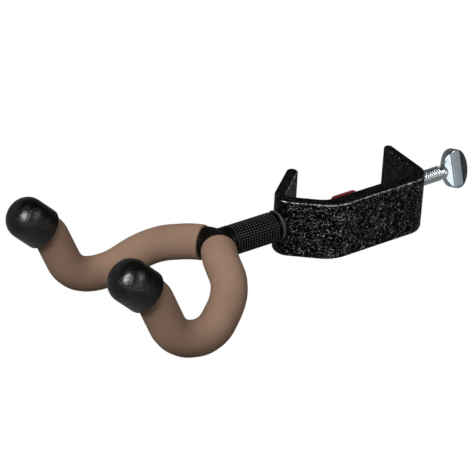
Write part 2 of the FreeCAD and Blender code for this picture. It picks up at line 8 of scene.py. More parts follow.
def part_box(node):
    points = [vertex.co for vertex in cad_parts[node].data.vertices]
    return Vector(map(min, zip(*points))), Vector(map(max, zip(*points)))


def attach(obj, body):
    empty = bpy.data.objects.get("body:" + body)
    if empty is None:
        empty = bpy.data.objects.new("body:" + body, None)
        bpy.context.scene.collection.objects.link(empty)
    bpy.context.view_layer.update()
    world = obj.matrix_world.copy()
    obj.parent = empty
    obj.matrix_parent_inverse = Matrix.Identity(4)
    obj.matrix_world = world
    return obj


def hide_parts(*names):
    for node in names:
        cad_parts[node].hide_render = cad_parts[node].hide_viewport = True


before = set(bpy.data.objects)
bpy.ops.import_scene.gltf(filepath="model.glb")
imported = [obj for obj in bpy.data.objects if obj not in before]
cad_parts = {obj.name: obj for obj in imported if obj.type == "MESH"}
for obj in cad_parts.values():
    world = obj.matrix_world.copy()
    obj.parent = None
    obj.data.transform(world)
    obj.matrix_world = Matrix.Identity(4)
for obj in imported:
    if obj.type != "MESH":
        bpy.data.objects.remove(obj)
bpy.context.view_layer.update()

mm = 0.001
near = 0.001 * mm  # two places closer than this are one place
weld = 0.005 * mm  # and corners of a mesh closer than this are joined

hangerView = {
    "turn": 35.334, "height": 32.094, "roll": 2.737,     # degrees
    "away": 1.20713, "right": 0.039945, "up": 0.012206,  # metres, from the part's origin
    "lens": 179.1, "sensor": 36.0,
    "clip": (0.01, 50),
}


def placeCamera(view):
    turn, height, roll = (math.radians(view[k]) for k in ("turn", "height", "roll"))
    ahead = Vector((math.sin(turn) * math.cos(height), math.cos(turn) * math.cos(height),
                    -math.sin(height)))
    level = Vector((math.cos(turn), -math.sin(turn), 0))
    upright = level.cross(ahead)
    across = level * math.cos(roll) + upright * math.sin(roll)
    above = upright * math.cos(roll) - level * math.sin(roll)
    place = -(across * view["right"] + above * view["up"] + ahead * view["away"])
    bpy.ops.object.camera_add()
    camera = bpy.context.object
    camera.name = "hangerCamera"
    camera.matrix_world = Matrix((
        (across.x, above.x, -ahead.x, place.x),
        (across.y, above.y, -ahead.y, place.y),
        (across.z, above.z, -ahead.z, place.z),
        (0, 0, 0, 1)))
    camera.data.lens = view["lens"]
    camera.data.sensor_width = view["sensor"]
    camera.data.clip_start, camera.data.clip_end = view["clip"]
    bpy.context.scene.camera = camera


placeCamera(hangerView)
bpy.context.scene.view_settings.view_transform = "Standard"
print("camera is in place")


def addNode(owner, kind, inputs=(), **settings):
    node = owner.node_tree.nodes.new(kind)
    for name, setting in settings.items():
        setattr(node, name, setting)
    for name, number in dict(inputs).items():
        node.inputs[name].default_value = number
    return node


def link(owner, source, output, target, socket):
    owner.node_tree.links.new(source.outputs[output], target.inputs[socket])


def addMath(owner, operation, *terms):
    # each term is a number, or a node with the name of its output
    node = addNode(owner, "ShaderNodeMath", operation=operation)
    for place, term in enumerate(terms):
        if isinstance(term, tuple):
            link(owner, *term, node, place)
        else:
            node.inputs[place].default_value = term
    return node


def splitVector(owner, source, output):
    split = addNode(owner, "ShaderNodeSeparateXYZ")
    link(owner, source, output, split, "Vector")
    return split


def addRange(owner, source, output, low, high, toLow, toHigh, **settings):
    shift = addNode(owner, "ShaderNodeMapRange",
                    {"From Min": low, "From Max": high, "To Min": toLow, "To Max": toHigh}, **settings)
    link(owner, source, output, shift, "Value")
    return shift


def newFinish(name, colour, rough, metal=0.0, specular=0.5):
    material = bpy.data.materials.new(name)
    material.use_nodes = True
    shader = material.node_tree.nodes["Principled BSDF"]
    shader.inputs["Base Color"].default_value = (*colour, 1)
    shader.inputs["Roughness"].default_value = rough
    shader.inputs["Metallic"].default_value = metal
    shader.inputs["Specular IOR Level"].default_value = specular
    return material, shader


def objectSpace(material, scale=(1, 1, 1)):
    space = addNode(material, "ShaderNodeTexCoord")
    mapping = addNode(material, "ShaderNodeMapping", {"Scale": scale})
    link(material, space, "Object", mapping, "Vector")
    return mapping


def addNoise(material, mapping, scale, detail=3.0, rough=0.5, distort=0.0):
    noise = addNode(material, "ShaderNodeTexNoise",
                    {"Scale": scale, "Detail": detail, "Roughness": rough, "Distortion": distort})
    link(material, mapping, "Vector", noise, "Vector")
    return noise


def addRamp(material, source, output, stops):
    ramp = addNode(material, "ShaderNodeValToRGB")
    elements = ramp.color_ramp.elements
    while len(elements) < len(stops):
        elements.new(0.5)
    for element, (place, colour) in zip(elements, stops):
        element.position = place
        element.color = (*colour, 1)
    link(material, source, output, ramp, "Fac")
    return ramp


def paint(material, shader, source, output, stops):
    tint = addRamp(material, source, output, stops)
    link(material, tint, "Color", shader, "Base Color")


def roughen(material, shader, source, output, low, high, toLow, toHigh):
    spread = addRange(material, source, output, low, high, toLow, toHigh)
    link(material, spread, "Result", shader, "Roughness")


def addBump(material, shader, source, output, height, strength=1.0, before=None):
    bump = addNode(material, "ShaderNodeBump", {"Strength": strength, "Distance": height})
    link(material, source, output, bump, "Height")
    if before:
        link(material, before, "Normal", bump, "Normal")
    link(material, bump, "Normal", shader, "Normal")
    return bump


def deselectAll():
    if bpy.context.object and bpy.context.object.mode != "OBJECT":
        bpy.ops.object.mode_set(mode="OBJECT")
    bpy.ops.object.select_all(action="DESELECT")


def selectOnly(piece):
    deselectAll()
    piece.select_set(True)
    bpy.context.view_layer.objects.active = piece


def joinPieces(main, *others):
    selectOnly(main)
    for piece in others:
        piece.select_set(True)
    bpy.ops.object.join()


def startEdit(mode="VERT"):
    bpy.ops.object.mode_set(mode="EDIT")
    bpy.ops.mesh.select_mode(type=mode)


def endEdit():
    bpy.ops.object.mode_set(mode="OBJECT")


def choose(piece, test, kind="faces"):
    # selects the parts of the mesh in edit mode that pass the test
    mesh = bmesh.from_edit_mesh(piece.data)
    for group in (mesh.verts, mesh.edges, mesh.faces):
        for part in group:
            part.select = False
    for part in getattr(mesh, kind):
        if test(part):
            part.select = True
    mesh.select_flush_mode()
    bmesh.update_edit_mesh(piece.data)


def edgeMiddle(edge):
    return (edge.verts[0].co + edge.verts[1].co) / 2


def drawLine(name, points):
    # an open line of straight runs, drawn from a single corner
    deselectAll()
    bpy.ops.mesh.primitive_plane_add(size=mm, location=points[0])
    piece = bpy.context.object
    piece.name = name
    bpy.ops.object.transform_apply(location=True, rotation=True, scale=True)
    startEdit()
    bpy.ops.mesh.select_all(action="SELECT")
    bpy.ops.mesh.merge(type="CENTER")
    for here, there in zip(points, points[1:]):
        step = Vector(there) - Vector(here)
        bpy.ops.mesh.extrude_vertices_move(TRANSFORM_OT_translate={"value": step})
    return piece


def spinProfile(axis, steps):
    # turns the line in edit mode once round the axis
    bpy.ops.mesh.select_all(action="SELECT")
    bpy.ops.mesh.spin(steps=steps, angle=2 * math.pi, center=(0, 0, 0), axis=axis)
    bpy.ops.mesh.select_all(action="SELECT")
    bpy.ops.mesh.remove_doubles(threshold=weld)
    bpy.ops.mesh.normals_make_consistent(inside=False)


def applyModifier(piece, kind, **settings):
    selectOnly(piece)
    modifier = piece.modifiers.new(kind.lower(), kind)
    for name, setting in settings.items():
        setattr(modifier, name, setting)
    bpy.ops.object.modifier_apply(modifier=modifier.name)


def movePiece(piece, matrix):
    # turns and moves the mesh itself, so that the object stays at the origin
    piece.data.transform(matrix)
    piece.data.update()


def dressPiece(piece, finish):
    piece.data.materials.clear()
    piece.data.materials.append(finish)


def finishPiece(piece, body, finish, stands, smooth):
    selectOnly(piece)
    bpy.ops.object.transform_apply(location=True, rotation=True, scale=True)
    bpy.ops.object.shade_smooth_by_angle(angle=math.radians(smooth))
    dressPiece(piece, finish)
    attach(piece, body)
    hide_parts(*stands)


def makeWrinkleCoat():
    # wrinkle powder coat: black, with fine raised creases whose glints are painted into the colour as light
    # grey
    material, shader = newFinish("wrinkleCoat", (0.003, 0.003, 0.0032), 0.3, specular=0.35)
    mapping = objectSpace(material)
    folds = addNoise(material, mapping, 520, detail=2.0, rough=0.5, distort=0.9)
    # the creases follow the middle level of the noise, as thin winding lines
    away = addMath(material, "SUBTRACT", (folds, "Fac"), 0.5)
    level = addMath(material, "ABSOLUTE", (away, "Value"))
    crease = addRange(material, level, "Value", 0.008, 0.060, 1.0, 0.0)
    patches = addNoise(material, mapping, 900, detail=1.5, rough=0.5)
    broken = addRange(material, patches, "Fac", 0.42, 0.58, 0.0, 1.0)
    lit = addMath(material, "MULTIPLY", (crease, "Result"), (broken, "Result"))
    # the painted glints are dimmed on the faces that look up and on the tab's inner face, as painted shade
    # where less light falls
    facing = splitVector(material, addNode(material, "ShaderNodeTexCoord"), "Normal")
    edges = addRange(material, facing, "Z", 0.80, 0.97, 1.0, 0.45)
    tab = addRange(material, facing, "X", -0.80, -0.60, 0.45, 1.0)
    glintShade = addMath(material, "MULTIPLY", (edges, "Result"), (tab, "Result"))
    shadedGlints = addMath(material, "MULTIPLY", (lit, "Value"), (glintShade, "Value"))
    # a painted highlight runs in patches along the front wall's rounded top edge, where it faces forward
    none, full = (0, 0, 0), (1, 1, 1)
    rim = addRamp(material, facing, "Z", [(0.20, none), (0.36, full), (0.90, full), (0.97, none)])
    front = addRange(material, facing, "Y", -0.25, -0.12, 1.0, 0.0)
    paintedRimHighlight = addMath(material, "MULTIPLY", (rim, "Color"), (front, "Result"))
    rimHighlightPatches = addRange(material, patches, "Fac", 0.36, 0.56, 0.30, 0.95)
    patchyRimHighlight = addMath(material, "MULTIPLY", (paintedRimHighlight, "Value"), (rimHighlightPatches, "Result"))
    paintedShine = addMath(material, "MAXIMUM", (shadedGlints, "Value"), (patchyRimHighlight, "Value"))
    # the colour carries painted light: near-black hollows, and light grey painted glints on the creases and
    # along the front top edge
    paint(material, shader, paintedShine, "Value",
          [(0.10, (0.0007, 0.0007, 0.0008)), (0.45, (0.016, 0.016, 0.0165)), (0.90, (0.50, 0.50, 0.50))])
    # the hollows between the creases give next to no gloss
    hollow = addRange(material, crease, "Result", 0.0, 0.5, 1.0, 0.0)
    link(material, hollow, "Result", shader, "Metallic")
    bump = addBump(material, shader, folds, "Fac", 1.4 * mm, 0.9)
    addBump(material, shader, lit, "Value", 0.4 * mm, 0.9, before=bump)
    roughen(material, shader, crease, "Result", 0.0, 1.0, 0.42, 0.27)
    return material


def makeRedVinyl():
    material, shader = newFinish("redVinyl", (0.17, 0.008, 0.012), 0.42, specular=0.4)
    mapping = objectSpace(material)
    mottle = addNoise(material, mapping, 700, detail=3)
    paint(material, shader, mottle, "Fac", [(0.3, (0.13, 0.006, 0.010)), (0.7, (0.21, 0.012, 0.016))])
    addBump(material, shader, mottle, "Fac", 0.12 * mm, 0.4)
    return material


def makeDarkSteel():
    material, shader = newFinish("darkSteel", (0.045, 0.045, 0.05), 0.38, metal=1.0)
    mapping = objectSpace(material)
    stain = addNoise(material, mapping, 800, detail=5, rough=0.6)
    paint(material, shader, stain, "Fac", [(0.3, (0.03, 0.03, 0.034)), (0.75, (0.085, 0.085, 0.09))])
    roughen(material, shader, stain, "Fac", 0.3, 0.7, 0.3, 0.5)
    return material


def makeBlackNylon():
    material, shader = newFinish("blackNylon", (0.006, 0.006, 0.006), 0.45, specular=0.15)
    mapping = objectSpace(material)
    grain = addNoise(material, mapping, 900, detail=3)
    paint(material, shader, grain, "Fac", [(0.35, (0.003, 0.003, 0.003)), (0.65, (0.012, 0.012, 0.012))])
    addBump(material, shader, grain, "Fac", 0.06 * mm, 0.4)
    return material


def makeBareSteel():
    material, shader = newFinish("bareSteel", (0.42, 0.42, 0.44), 0.33, metal=1.0)
    mapping = objectSpace(material, scale=(0.06, 1, 1))
    lines = addNoise(material, mapping, 1800, detail=4)
    paint(material, shader, lines, "Fac", [(0.3, (0.35, 0.35, 0.37)), (0.7, (0.5, 0.5, 0.52))])
    addBump(material, shader, lines, "Fac", 0.04 * mm, 0.5)
    return material


def makeHubSatin():
    material, shader = newFinish("hubSatin", (0.003, 0.0026, 0.002), 0.42, specular=0.1)
    mapping = objectSpace(material)
    peel = addNoise(material, mapping, 750, detail=2)
    addBump(material, shader, peel, "Fac", 0.15 * mm, 0.35)
    roughen(material, shader, peel, "Fac", 0.3, 0.7, 0.34, 0.48)
    return material


def makeTaupeRubber():
    # soft matte rubber: even brown-grey with faint cloudiness and fine pores
    material, shader = newFinish("taupeRubber", (0.288, 0.182, 0.127), 0.66, specular=0.12)
    mapping = objectSpace(material)
    clouds = addNoise(material, mapping, 55, detail=4, rough=0.55)
    paint(material, shader, clouds, "Fac", [(0.30, (0.268, 0.166, 0.114)), (0.70, (0.308, 0.198, 0.140))])
    pores = addNoise(material, mapping, 2600, detail=2)
    skin = addNoise(material, mapping, 420, detail=3)
    bump = addBump(material, shader, skin, "Fac", 0.12 * mm, 0.3)
    addBump(material, shader, pores, "Fac", 0.04 * mm, 0.4, before=bump)
    roughen(material, shader, skin, "Fac", 0.3, 0.7, 0.60, 0.74)
    return material


def makeCapRubber():
    # black rubber with a crinkled skin, which breaks its highlight into a mottled patch
    material, shader = newFinish("capRubber", (0.0018, 0.0017, 0.0012), 0.30, specular=0.75)
    mapping = objectSpace(material)
    smear = addNoise(material, mapping, 190, detail=5, rough=0.62)
    roughen(material, shader, smear, "Fac", 0.32, 0.70, 0.17, 0.31)
    peel = addNoise(material, mapping, 640, detail=4, rough=0.65)
    crumple = addNoise(material, mapping, 210, detail=2)
    bump = addBump(material, shader, crumple, "Fac", 0.8 * mm, 0.45)
    addBump(material, shader, peel, "Fac", 0.5 * mm, 0.6, before=bump)
    return material


wrinkleCoat = makeWrinkleCoat()
redVinyl = makeRedVinyl()
darkSteel = makeDarkSteel()
blackNylon = makeBlackNylon()
bareSteel = makeBareSteel()
hubSatin = makeHubSatin()
taupeRubber = makeTaupeRubber()
capRubber = makeCapRubber()
print("finishes are ready")

for name, finish in (("clamp_bracket", wrinkleCoat), ("screw_tip", redVinyl), ("arm_bolt", darkSteel),
                     ("spring_washer", darkSteel), ("swivel_ring", blackNylon), ("arm_core", bareSteel),
                     ("yoke_rod", bareSteel), ("yoke_hub", hubSatin)):
    dressPiece(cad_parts[name], finish)
print("solids are dressed")


thumbScrew = {
    "radius": 3.95 * mm, "depth": 0.62 * mm, "pitch": 1.411 * mm,
    "crestRound": 0.04 * mm, "sides": 32, "weld": 0.003 * mm,
    "runOut": 1.4 * mm,     # plain neck between the thread and the head
    "headTurn": -19.4,      # degrees about the shank
    "headLong": 15.8 * mm, "headWide": 21.0 * mm, "around": 96,
    "bandWide": 5.6 * mm, "bandThick": 6.2 * mm, "edgeThick": 3.4 * mm,
    "rimRound": 0.6 * mm, "speck": 0.1 * mm,
    "slopeArea": 8 * mm * mm, "border": 0.08 * mm, "bandInset": 0.3 * mm, "bandTall": 0.86,
    "neck": 3.0 * mm,
}


def makeZincPlate(sizes):
    # bright zinc: bluish grey, faint brush lines and cloudy patches
    material, shader = newFinish("zincPlate", (0.50, 0.56, 0.60), 0.22, metal=1.0)
    mapping = objectSpace(material)
    clouds = addNoise(material, mapping, 420, detail=5, rough=0.65)
    spread = addRange(material, clouds, "Fac", 0.3, 0.75, 0.10, 0.24)
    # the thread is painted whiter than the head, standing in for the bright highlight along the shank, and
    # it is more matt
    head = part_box("clamp_screw")[1].x - sizes["headLong"]
    along = splitVector(material, mapping, "Vector")
    white = addRange(material, along, "X", head - 0.5 * mm, head + 2 * mm, 0.5, 0.0)
    level = addMath(material, "ADD", (clouds, "Fac"), (white, "Result"))
    paint(material, shader, level, "Value",
          [(0.32, (0.44, 0.52, 0.59)), (0.68, (0.66, 0.74, 0.80)), (1.0, (0.90, 0.93, 0.95))])
    dull = addRange(material, along, "X", head - 0.5 * mm, head + 2 * mm, 0.15, 0.0)
    rough = addMath(material, "ADD", (spread, "Result"), (dull, "Result"))
    link(material, rough, "Value", shader, "Roughness")
    brushed = objectSpace(material, scale=(1, 1, 0.08))
    lines = addNoise(material, brushed, 3200, detail=3)
    addBump(material, shader, lines, "Fac", 0.02 * mm, 0.3)
    return material


def makeShank(sizes):
    low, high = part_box("clamp_screw")
    start, end = low.x, high.x - sizes["headLong"]
    turns = int((end - sizes["runOut"] - start) / sizes["pitch"])
    crest, root, step = sizes["radius"], sizes["radius"] - sizes["depth"], sizes["pitch"]
    # one pitch of the thread: flank, rolled round crest, flank, narrow root
    shoulder = crest - sizes["crestRound"]
    thread = ((0, root), (0.13, shoulder), (0.23, crest), (0.63, crest), (0.73, shoulder),
              (0.86, root), (1, root))
    profile = [(start + share * step, 0, radius) for share, radius in thread]
    shank = drawLine("thumbScrewShank", profile)
    endEdit()
    applyModifier(shank, "SCREW", axis="X", angle=2 * math.pi, screw_offset=step, iterations=turns,
                  steps=sizes["sides"], render_steps=sizes["sides"], use_merge_vertices=True,
                  merge_threshold=2 * near)
    startEdit("EDGE")
    # both open ends are drawn to a plain ring and closed, inside the tip and inside the head
    last = start + step * (turns + 1)
    for place, ring, radius in ((start, start, root * 0.9), (last, last + 0.9 * mm, crest * 0.86)):
        choose(shank, lambda e: e.is_boundary and abs(edgeMiddle(e).x - place) < step * 1.2, "edges")
        bpy.ops.mesh.extrude_edges_move(TRANSFORM_OT_translate={"value": (0, 0, 0)})
        mesh = bmesh.from_edit_mesh(shank.data)
        for vert in mesh.verts:
            if vert.select:
                flat = Vector((0, vert.co.y, vert.co.z)).normalized() * radius
                vert.co = (ring, flat.y, flat.z)
        bmesh.update_edit_mesh(shank.data)
        bpy.ops.mesh.edge_face_add()
    bpy.ops.mesh.select_all(action="SELECT")
    bpy.ops.mesh.remove_doubles(threshold=sizes["weld"])
    bpy.ops.mesh.normals_make_consistent(inside=False)
    endEdit()
    return shank, end


def makePaddle(sizes, start):
    # an oval disc, cut to a flat band with a slope down to the rim on both sides
    middle = start + sizes["headLong"] / 2
    deselectAll()
    bpy.ops.mesh.primitive_circle_add(vertices=sizes["around"], radius=0.5, fill_type="NGON",
                                      location=(middle, -sizes["bandThick"] / 2, 0),
                                      rotation=(math.pi / 2, 0, 0))
    paddle = bpy.context.object
    paddle.name = "thumbScrewHead"
    paddle.scale = (sizes["headLong"], sizes["headWide"], 1)
    bpy.ops.object.transform_apply(location=True, rotation=True, scale=True)
    startEdit("FACE")
    bpy.ops.mesh.select_all(action="SELECT")
    bpy.ops.mesh.extrude_region_move(TRANSFORM_OT_translate={"value": (0, sizes["bandThick"], 0)})
    fall = (sizes["bandThick"] - sizes["edgeThick"]) / 2
    run = (sizes["headLong"] - sizes["bandWide"]) / 2
    for side in (-1, 1):
        for face in (-1, 1):
            edge = (middle + side * sizes["bandWide"] / 2, face * sizes["bandThick"] / 2, 0)
            bpy.ops.mesh.select_all(action="SELECT")
            bpy.ops.mesh.bisect(plane_co=edge, plane_no=Vector((side * fall, face * run, 0)).normalized(),
                                use_fill=True, clear_outer=True, threshold=near)
    bpy.ops.mesh.select_all(action="SELECT")
    bpy.ops.mesh.remove_doubles(threshold=sizes["speck"])
    bpy.ops.mesh.normals_make_consistent(inside=False)
    endEdit()
    applyModifier(paddle, "BEVEL", width=sizes["rimRound"], segments=4, limit_method="ANGLE",
                  angle_limit=math.radians(10), use_clamp_overlap=False)
    # narrow borders keep the slopes and the band flat where they are shaded smooth
    startEdit("FACE")
    choose(paddle, lambda f: f.calc_area() > sizes["slopeArea"] and abs(f.normal.x) > 0.1)
    bpy.ops.mesh.inset(thickness=sizes["border"], depth=0, use_individual=True)
    across = sizes["bandWide"] / 2 - sizes["bandInset"]
    tall = sizes["headWide"] / 2 * sizes["bandTall"]
    for place, normal in (((middle + across, 0, 0), (1, 0, 0)), ((middle - across, 0, 0), (1, 0, 0)),
                          ((middle, 0, tall), (0, 0, 1)), ((middle, 0, -tall), (0, 0, 1))):
        bpy.ops.mesh.select_all(action="SELECT")
        bpy.ops.mesh.bisect(plane_co=place, plane_no=normal, threshold=near)
    endEdit()
    return paddle


def makeNeck(sizes, start):
    radius = sizes["radius"]
    # it starts and ends on the axis, so it is closed
    profile = [(start - 0.8 * mm, 0, 0), (start - 0.8 * mm, 0, radius * 0.84),
               (start - 0.2 * mm, 0, radius * 0.9), (start + 0.5 * mm, 0, radius * 0.98),
               (start + 1.6 * mm, 0, radius * 0.78), (start + sizes["neck"], 0, sizes["edgeThick"] / 2),
               (start + sizes["neck"] * 1.25, 0, 0)]
    neck = drawLine("thumbScrewNeck", profile)
    spinProfile((1, 0, 0), sizes["sides"])
    endEdit()
    return neck


def makeThumbScrew(sizes):
    shank, headStart = makeShank(sizes)
    paddle = makePaddle(sizes, headStart)
    neck = makeNeck(sizes, headStart)
    joinPieces(shank, paddle, neck)
    shank.name = "thumbScrewZinc"
    movePiece(shank, Matrix.Rotation(math.radians(sizes["headTurn"]), 4, "X"))
    finishPiece(shank, "screw", makeZincPlate(sizes), ["clamp_screw"], smooth=32)


makeThumbScrew(thumbScrew)
print("thumb screw is made")


armSleeve = {
    "radius": 7.42 * mm, "stud": 0.48 * mm, "around": 36, "pitch": 1.60 * mm,
    "border": 0.22 * mm, "inner": 6.35 * mm,
    "studSteps": ((0.16 * mm, 0.75), (0.20 * mm, 0.25)),  # inward, and the share of the stud's height
    "lip": 8.15 * mm, "lipLong": 0.9 * mm, "plain": 0.7 * mm,
    "lipFoot": 0.5 * mm, "lipRound": 0.3 * mm, "lipEase": 0.05 * mm, "endRound": 0.25 * mm,
}


def makeGridRubber(sizes):
    # black rubber: its stud tops and its lip are painted lighter as a painted highlight, and its grooves
    # near-black as painted shade
    material, shader = newFinish("gridRubber", (0.006, 0.006, 0.0063), 0.36, specular=0.07)
    mapping = objectSpace(material, scale=(0, 1, 1))
    away = addNode(material, "ShaderNodeVectorMath", operation="LENGTH")
    link(material, mapping, "Vector", away, 0)
    raised = addRange(material, away, "Value", sizes["radius"] + 0.1 * mm, sizes["lip"] - 0.02 * mm, 0, 1)
    # painted light by height: near-black grooves as painted shade, light stud tops and lip as painted
    # highlight
    paint(material, shader, raised, "Result",
          [(0.0, (0.0008, 0.0008, 0.0009)), (0.36, (0.010, 0.010, 0.0105)), (0.60, (0.13, 0.13, 0.133)),
           (0.74, (0.003, 0.003, 0.003)), (1.0, (0.10, 0.10, 0.10))])
    grain = addNoise(material, objectSpace(material), 1900, detail=3)
    addBump(material, shader, grain, "Fac", 0.08 * mm, 0.5)
    return material


def makeArmSleeve(sizes):
    low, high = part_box("arm_sleeve")
    start, end = high.x, low.x  # the bracket's end and the hub's end
    deselectAll()
    bpy.ops.mesh.primitive_circle_add(vertices=sizes["around"], radius=sizes["radius"],
                                      fill_type="NOTHING", location=(end, 0, 0),
                                      rotation=(0, math.pi / 2, 0))
    sleeve = bpy.context.object
    sleeve.name = "armGridSleeve"
    bpy.ops.object.transform_apply(location=True, rotation=True, scale=True)
    startEdit("EDGE")
    bpy.ops.mesh.select_all(action="SELECT")
    lipStart = start - sizes["lipLong"]
    gridEnd = lipStart - sizes["plain"]
    rows = int((gridEnd - end) / sizes["pitch"])
    rest = gridEnd - end - rows * sizes["pitch"]
    for step in [sizes["pitch"]] * rows + [rest]:
        bpy.ops.mesh.extrude_edges_move(TRANSFORM_OT_translate={"value": (step, 0, 0)})
    bpy.ops.mesh.select_all(action="SELECT")
    bpy.ops.mesh.normals_make_consistent(inside=False)
    startEdit("FACE")
    choose(sleeve, lambda f: f.calc_center_median().x < gridEnd - rest)
    bpy.ops.mesh.inset(thickness=sizes["border"], depth=0, use_individual=True)
    for inward, share in sizes["studSteps"]:
        bpy.ops.mesh.inset(thickness=inward, depth=sizes["stud"] * share, use_individual=True)
    endEdit()

    # plain end with its smooth lip, and the sleeve's inside
    radius, lip, inner = sizes["radius"], sizes["lip"], sizes["inner"]
    profile = [(gridEnd, 0, radius), (lipStart - sizes["lipFoot"], 0, radius),
               (lipStart, 0, lip - sizes["lipEase"]), (lipStart + sizes["lipRound"], 0, lip),
               (start - sizes["lipRound"], 0, lip), (start, 0, lip - sizes["endRound"]),
               (start, 0, inner), (end, 0, inner), (end, 0, radius)]
    collar = drawLine("armSleeveLip", profile)
    spinProfile((1, 0, 0), sizes["around"] * 2)
    endEdit()
    joinPieces(sleeve, collar)
    finishPiece(sleeve, "yoke", makeGridRubber(sizes), ["arm_sleeve"], smooth=28)


makeArmSleeve(armSleeve)
print("arm sleeve is made")


yokeRoute = {
    # mm and degrees, before the yoke is turned about the arm
    "reach": 59.5, "rootLean": 31.0, "hubHalf": 7.8, "rootRun": 6.9, "cradleHalf": 49.0,
    "shoulder": (16.5, 37.9, 7.2),                                        # ahead, out, drop
    "trough": (38.2, 20.8), "rise": (58.3, 16.1), "flare": (67.8, -9.4),  # ahead, drop
    "lean": 45.4, "flareRun": 5.0, "bend": 0.48, "turn": -10.2,
    "padGap": 0.3, "inCap": 15.0,
}
yokeTube = {
    "radius": 9.1 * mm, "bore": 4.85 * mm, "plug": 2 * mm,
    "rimRound": 0.9 * mm, "rimFound": 0.3 * mm, "around": 40, "bendSteps": 14,
}
yokeCap = {
    "radius": 10.95 * mm, "bore": 9.12 * mm, "straight": 12.2 * mm, "round": 8.8 * mm,
    "lipRound": 0.8 * mm, "boreRound": 0.35 * mm, "depth": 15.5 * mm, "around": 64,
}


def yokeSpot(x, y, z):
    return Matrix.Rotation(math.radians(yokeRoute["turn"]), 3, "X") @ (Vector((x, y, z)) * mm)


def prongTip(route, side, run):
    # the place this far past the bend under the cap, on the cap's axis
    lean = math.radians(route["lean"])
    ahead, drop = route["flare"]
    return yokeSpot(-route["reach"] - ahead - run * math.sin(lean), side * route["cradleHalf"],
                    run * math.cos(lean) - drop)


def prongCorners(route, side):
    reach, half = route["reach"], side * route["cradleHalf"]
    lean = math.radians(route["rootLean"])
    corners = []
    for along in (route["hubHalf"] + route["padGap"], route["hubHalf"] + route["rootRun"]):
        corners.append(yokeSpot(-reach - along * math.sin(lean), side * along * math.cos(lean), 0))
    ahead, out, drop = route["shoulder"]
    corners.append(yokeSpot(-reach - ahead, side * out, -drop))
    for ahead, drop in (route["trough"], route["rise"]):
        corners.append(yokeSpot(-reach - ahead, half, -drop))
    return corners + [prongTip(route, side, 0), prongTip(route, side, route["flareRun"] + route["inCap"])]


def bendSpots(route, corners):
    # a place with its two handles at each end of every bend, so that the bends are arcs
    lengths = [(b - a).length for a, b in zip(corners, corners[1:])]
    # the bends' sizes don't count the part of the last run that is inside the cap
    lengths[-1] -= route["inCap"] * mm
    lengths[0] += route["padGap"] * mm
    spots = [(corners[0],) * 3]
    for n in range(1, len(corners) - 1):
        back = (corners[n - 1] - corners[n]).normalized()
        forward = (corners[n + 1] - corners[n]).normalized()
        if n == 1:
            cut = min(lengths[0], route["bend"] * lengths[1]) - route["padGap"] * mm
        else:
            cut = route["bend"] * min(lengths[n - 1], lengths[n])
        half = back.angle(forward) / 2
        handle = 4 / 3 * math.tan((math.pi - 2 * half) / 4) * cut * math.tan(half)
        start, end = corners[n] + back * cut, corners[n] + forward * cut
        spots.append((start, start, start - back * handle))
        spots.append((end, end - forward * handle, end))
    spots.append((corners[-1],) * 3)
    # the first bend can start right at the tube's end
    return spots[1:] if (spots[1][0] - spots[0][0]).length < 2 * weld else spots


def makeTube(name, side, stands):
    sizes = yokeTube
    corners = prongCorners(yokeRoute, side)
    spots = bendSpots(yokeRoute, corners)
    deselectAll()
    bpy.ops.curve.primitive_bezier_curve_add()
    line = bpy.context.object
    line.name = name
    spline = line.data.splines[0]
    spline.bezier_points.add(len(spots) - 2)
    for point, (place, before, after) in zip(spline.bezier_points, spots):
        point.handle_left_type = point.handle_right_type = "FREE"
        point.co, point.handle_left, point.handle_right = place, before, after
    line.data.dimensions = "3D"
    line.data.resolution_u = line.data.render_resolution_u = sizes["bendSteps"]
    line.data.twist_mode = "MINIMUM"
    line.data.bevel_depth = sizes["radius"]
    line.data.bevel_resolution = sizes["around"] // 4 - 1
    line.data.use_fill_caps = False
    bpy.ops.object.convert(target="MESH")
    tube = bpy.context.object

    # both ends are closed: a rounded cut end at the hub, a plain one inside the cap
    startEdit()
    bpy.ops.mesh.select_all(action="SELECT")
    bpy.ops.mesh.remove_doubles(threshold=weld)
    startEdit("EDGE")
    shrink = sizes["bore"] / sizes["radius"]
    nearby = sizes["radius"] * 1.3
    for place, inward in ((corners[0], corners[1] - corners[0]), (corners[-1], corners[-2] - corners[-1])):
        choose(tube, lambda e: e.is_boundary and (edgeMiddle(e) - place).length < nearby, "edges")
        bpy.ops.mesh.extrude_edges_move(TRANSFORM_OT_translate={"value": (0, 0, 0)})
        bpy.ops.transform.resize(value=(shrink, shrink, shrink), center_override=place)
        bpy.ops.mesh.extrude_edges_move(
            TRANSFORM_OT_translate={"value": inward.normalized() * sizes["plug"]})
        bpy.ops.mesh.edge_face_add()
    bpy.ops.mesh.select_all(action="SELECT")
    bpy.ops.mesh.normals_make_consistent(inside=False)
    # the cut end's outer rim is a sharp edge, one radius from the tube's axis
    choose(tube, lambda e: len(e.link_faces) == 2 and e.calc_face_angle(0) > 1.2 and
           abs((edgeMiddle(e) - corners[0]).length - sizes["radius"]) < sizes["rimFound"], "edges")
    bpy.ops.mesh.bevel(offset=sizes["rimRound"], segments=5, affect="EDGES")
    endEdit()
    finishPiece(tube, "yoke", taupeRubber, stands, smooth=50)


